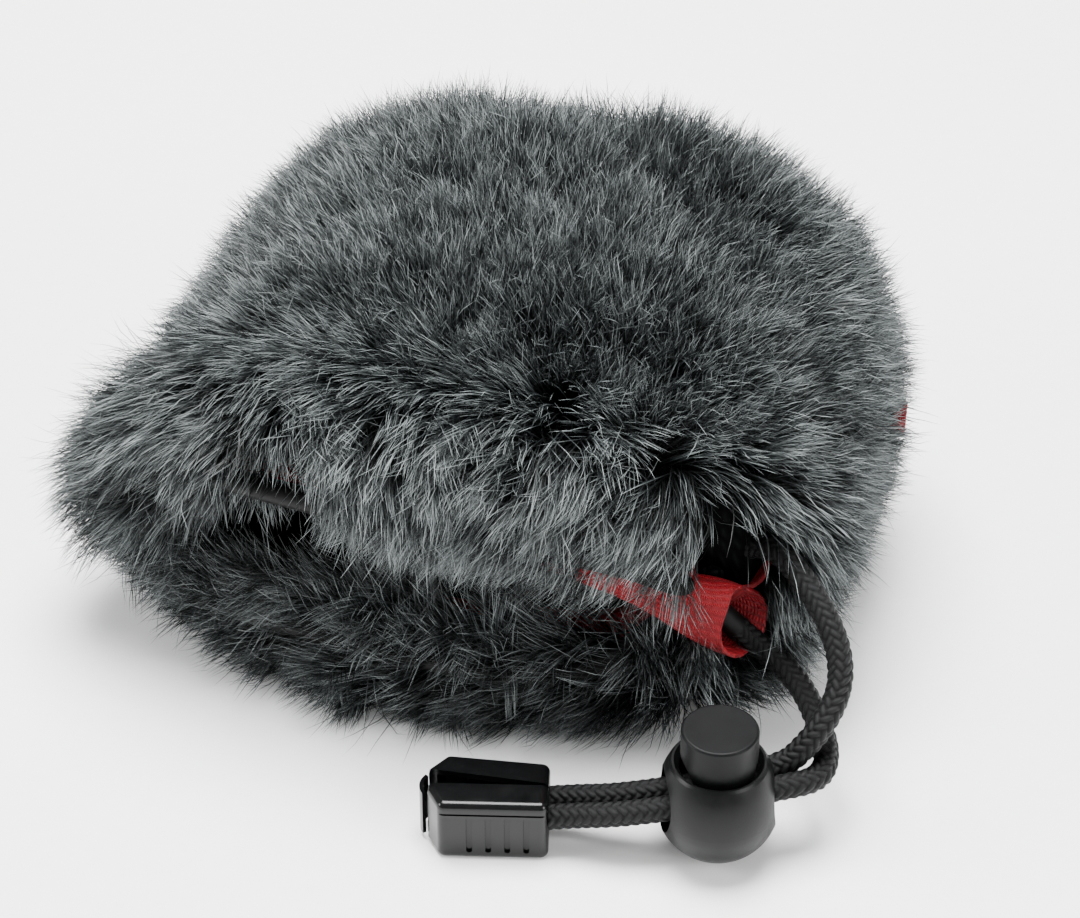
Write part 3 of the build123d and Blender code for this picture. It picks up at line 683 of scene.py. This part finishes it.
def fur_piece(name, node_name, lines, normals, turns, tones):
    """Blades: at each stop two points, line +- width/2 along (heading x normal) turned about the heading, and
    one point at the tip; three quads and a triangle each."""
    heading = unit(np.gradient(lines, axis=1))
    flat = unit(np.cross(heading, normals[:, None, :]))
    lifted = np.cross(heading, flat)
    side = flat * np.cos(turns)[:, None, None] + lifted * np.sin(turns)[:, None, None]
    half = side * (hair_width[None, :, None] / 2)
    left_edge, right_edge = lines - half, lines + half
    count, stops = lines.shape[:2]
    places = np.concatenate([np.stack([left_edge[:, :-1], right_edge[:, :-1]], 2).reshape(count, -1, 3),
                             lines[:, -1:]], 1)
    each = places.shape[1]
    base = (np.arange(count) * each)[:, None, None]
    quad = np.array([[2 * k, 2 * k + 1, 2 * k + 3, 2 * k + 2] for k in range(stops - 2)])
    quads = (base + quad[None]).reshape(-1, 4)
    tips = (base[:, 0] + np.array([[each - 3, each - 2, each - 1]])).reshape(-1, 3)
    mesh = bpy.data.meshes.new(name)
    loops = np.concatenate([quads.ravel(), tips.ravel()])
    mesh.vertices.add(count * each)
    mesh.vertices.foreach_set("co", places.ravel())
    mesh.loops.add(len(loops))
    mesh.loops.foreach_set("vertex_index", loops)
    mesh.polygons.add(len(quads) + len(tips))
    starts = np.concatenate([np.arange(len(quads)) * 4, len(quads) * 4 + np.arange(len(tips)) * 3])
    mesh.polygons.foreach_set("loop_start", starts)
    mesh.polygons.foreach_set("use_smooth", np.ones(len(starts), bool))
    mesh.update(calc_edges=True)
    share = np.concatenate([np.repeat(hair_stops[:-1], 2), [1.0]])
    data = np.zeros((count, each, 3))
    data[..., 0] = share[None, :]
    data[..., 1] = tones[:, None]
    attribute = mesh.attributes.new("strand", "FLOAT_VECTOR", "POINT")
    attribute.data.foreach_set("vector", data.ravel())
    mesh.materials.append(pile)
    piece = bpy.data.objects.new(name, mesh)
    bpy.context.collection.objects.link(piece)
    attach(piece, "windscreen")
    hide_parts(node_name)
    return piece


most_hairs = 27500
for index, panel_name in enumerate(panel_names):
    own = np.flatnonzero(own_root_panel == index)
    own = own[random.permutation(len(own))]
    patches = max(1, math.ceil(len(own) / most_hairs))
    for patch in range(patches):
        chosen = own[patch::patches]
        fur_piece(f"{panel_name}_fur_{patch + 1}", panel_name + "_fur", hairs[chosen],
                  hair_normal_kept[chosen], facing_turn[chosen], darkness_and_shade[chosen])


# ---------------------------------------------------------------------------------------------------------
# Seam tag: a short loop of the red tape, folded once and caught in the rim seam on the right.
tag_fold = np.linspace(-1, 1, 41)
tag_width = np.linspace(-4, 4, 33)
fold_share, width_share = np.meshgrid(tag_fold, tag_width, indexing="ij")
tag_out = np.array([0.9892, 0.1466, 0.0])
tag_side = np.array([-0.1466, 0.9892, 0.0])
tag_foot = np.array([53.51, 19.04, 24.4])
tag_gap, tag_reach = 0.1, 2.5
out = tag_gap + tag_reach * np.sqrt(np.clip(1 - fold_share ** 2, 0, 1)) ** 0.6
tag_rise = 0.28 * np.sin(fold_share * np.pi / 2) + 0.12 * np.sin(width_share * 0.9)
tag_places = (tag_foot + out[..., None] * tag_out + width_share[..., None] * tag_side
              + tag_rise[..., None] * np.array([0, 0, 1.0]))
tag = new_piece("side_tag", tag_places.reshape(-1, 3) * MM, grid_faces(41, 33, False), tape,
                np.stack([width_share, fold_share * 3], -1).reshape(-1, 2))
wall = tag.modifiers.new("wall", "SOLIDIFY")
wall.thickness = 0.2 * MM
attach(tag, "windscreen")
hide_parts("seam_tag")


# ---------------------------------------------------------------------------------------------------------
# Stitches: black polyester thread through the casings and along the ridge seam.
thread, shader, node, link = new_material("sewing_thread")
place = node("ShaderNodeTexCoord").outputs["Object"]
twisted = node("ShaderNodeTexWave", {"Vector": place, "Scale": 900.0, "Distortion": 1.0},
               bands_direction="DIAGONAL")
link(ramp(node, twisted.outputs["Fac"], [(0.2, (0.006, 0.006, 0.007)), (0.9, (0.04, 0.042, 0.045))]),
     shader.inputs["Base Color"])
bump = node("ShaderNodeBump", {"Height": twisted.outputs["Fac"], "Strength": 0.6, "Distance": 0.00005})
link(bump.outputs["Normal"], shader.inputs["Normal"])
shader.inputs["Roughness"].default_value = 0.7
dress("casing_stitches", thread)
dress("ridge_seam_stitches", thread)


# ---------------------------------------------------------------------------------------------------------
# Studio: a pale floor and three soft lights round the pouch, the largest one overhead.
paper, shader, node, link = new_material("studio_paper")
place = node("ShaderNodeTexCoord").outputs["Object"]
tooth = node("ShaderNodeTexNoise", {"Vector": place, "Scale": 400.0, "Detail": 2.0})
link(ramp(node, tooth.outputs["Fac"], [(0.3, (0.955, 0.955, 0.955)), (0.7, (0.98, 0.98, 0.98))]),
     shader.inputs["Base Color"])
shader.inputs["Roughness"].default_value = 0.8
floor_mesh = bpy.data.meshes.new("studio_floor")
floor_mesh.from_pydata([(-3, -3, 0), (3, -3, 0), (3, 3, 0), (-3, 3, 0)], [], [(0, 1, 2, 3)])
floor_mesh.materials.append(paper)
studio_floor = bpy.data.objects.new("studio_floor", floor_mesh)
bpy.context.collection.objects.link(studio_floor)

world = bpy.data.worlds.new("studio")
world.use_nodes = True
world.node_tree.nodes["Background"].inputs["Color"].default_value = (1.0, 1.0, 1.0, 1.0)
world.node_tree.nodes["Background"].inputs["Strength"].default_value = 0.6
bpy.context.scene.world = world


def soft_light(name, place, size, power):
    """A square area light of a given size and power that looks at the middle of the pouch."""
    light_data = bpy.data.lights.new(name, "AREA")
    light_data.shape = "SQUARE"
    light_data.size = size
    light_data.energy = power
    light = bpy.data.objects.new(name, light_data)
    facing = (Vector(place) - Vector((0, 0, 0.02))).to_track_quat("Z", "Y")
    light.matrix_world = Matrix.Translation(place) @ facing.to_matrix().to_4x4()
    bpy.context.collection.objects.link(light)


soft_light("overhead", (-0.05, 0.10, 0.8), 0.5, 30.0)
soft_light("left_fill", (-0.7, -0.35, 0.35), 0.35, 6.0)
soft_light("right_fill", (0.75, -0.25, 0.40), 0.35, 5.0)
